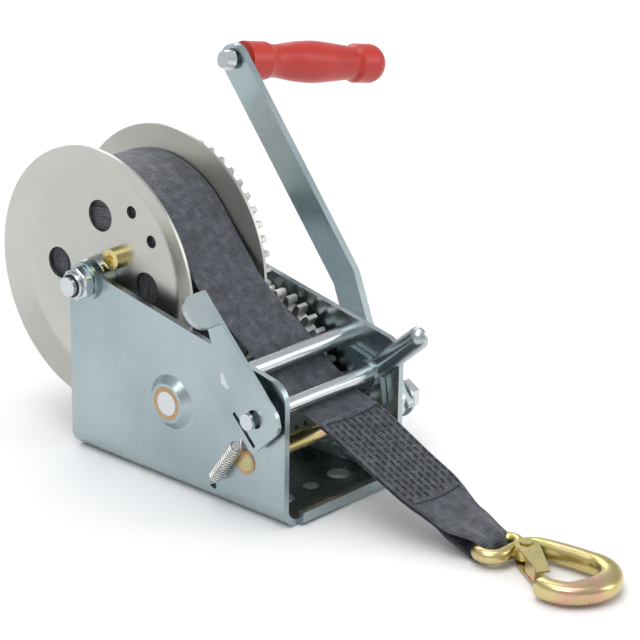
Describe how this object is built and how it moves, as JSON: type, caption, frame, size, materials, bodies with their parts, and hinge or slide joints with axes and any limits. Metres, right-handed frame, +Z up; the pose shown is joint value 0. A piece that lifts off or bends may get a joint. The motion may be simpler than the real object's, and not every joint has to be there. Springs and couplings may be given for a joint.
{
  "type": "hand winch",
  "caption": "Hand-cranked strap winch with a two-stage gear train, reversible pawl, crank arm and a webbing strap ending in a latched hook.",
  "frame": {"origin": "centre of the base plate's underside", "axes": "+X from the lever side to the crank side, -Y to the front where the strap leaves, +Z up from the base"},
  "size_m": [0.2887, 0.4455, 0.2304],
  "materials": {
    "zinc": "clear zinc plating",
    "satin_steel": "satin zinc plating",
    "gear_steel": "plated, cut teeth",
    "yellow_zinc": "iridescent yellow zinc",
    "bronze": "sintered bronze",
    "spring_steel": "bright wire",
    "webbing": "woven polyester",
    "red_grip": "moulded, semi-gloss"
  },
  "bodies": {
    "frame": {"frame": "zinc", "front_spacer_tube": "zinc", "front_spacer_bolt": "zinc", "front_spacer_nut": "zinc", "drum_axle_bolt": "zinc", "drum_axle_nut": "zinc", "drum_axle_washers": "zinc", "axle_spacer_left": "zinc", "axle_spacer_right": "zinc", "counter_bush_left": "bronze", "counter_bush_right": "bronze", "drive_bush_left": "bronze", "drive_bush_right": "bronze", "return_spring": "spring_steel", "strap_run": "webbing", "strap_tail": "webbing"},
    "drum": {"drum_flange_left": "satin_steel", "drum_flange_right": "satin_steel", "drum_core": "satin_steel", "drum_bushes": "bronze", "drum_gear": "gear_steel", "gear_rivets": "satin_steel", "strap_clamp_bolt": "yellow_zinc", "strap_clamp_nut": "satin_steel", "strap_coil": "webbing"},
    "counter": {"counter_shaft": "gear_steel", "counter_pinion": "gear_steel", "counter_gear": "gear_steel", "counter_collars": "zinc"},
    "drive": {"drive_shaft": "yellow_zinc", "drive_pinion": "gear_steel", "drive_collar": "zinc", "crank_hub": "zinc", "crank_washer": "zinc", "crank_nut": "zinc", "crank_arm": "zinc", "grip_spindle": "zinc"},
    "grip": {"grip": "red_grip"},
    "selector": {"pawl_shaft": "zinc", "pawl": "zinc", "pawl_collar": "zinc", "lever_collar": "zinc", "selector_lever": "zinc"},
    "hook": {"hook": "yellow_zinc", "latch_rivet": "yellow_zinc"},
    "latch": {"hook_latch": "yellow_zinc"}
  },
  "joints": [
    {"name": "crank_turn", "type": "hinge", "parent": "frame", "child": "drive", "pos_m": [0, -0.0582, 0.03449], "axis": [1, 0, 0], "continuous": true},
    {"name": "counter_spin", "type": "hinge", "parent": "frame", "child": "counter", "pos_m": [0, 0.00302, 0.0548], "axis": [1, 0, 0], "continuous": true},
    {"name": "drum_spin", "type": "hinge", "parent": "frame", "child": "drum", "pos_m": [0, 0.0754, 0.1132], "axis": [1, 0, 0], "continuous": true},
    {"name": "grip_spin", "type": "hinge", "parent": "drive", "child": "grip", "pos_m": [0.093, 0.08999, 0.21946], "axis": [0.9703, -0.1513, -0.1888], "continuous": true},
    {"name": "pawl_select", "type": "hinge", "parent": "frame", "child": "selector", "pos_m": [0, -0.0703, 0.0666], "axis": [-1, 0, 0], "range_deg": [0, 50], "stiffness_Nm_per_rad": 0.2, "springref_deg": -17.19, "deforming": ["return_spring"]},
    {"name": "hook_swing", "type": "hinge", "parent": "frame", "child": "hook", "pos_m": [0.005, -0.197, 0.0075], "axis": [-1, 0, 0], "range_deg": [0, 80]},
    {"name": "latch_swing", "type": "hinge", "parent": "hook", "child": "latch", "pos_m": [0.012, -0.2195, 0.0075], "axis": [0, 0, 1], "range_deg": [0, 35], "stiffness_Nm_per_rad": 0.02, "springref_deg": -22.92}
  ],
  "couplings": [
    {"joint": "counter_spin", "follows": "crank_turn", "ratio": -0.3871},
    {"joint": "drum_spin", "follows": "crank_turn", "ratio": 0.092903}
  ]
}
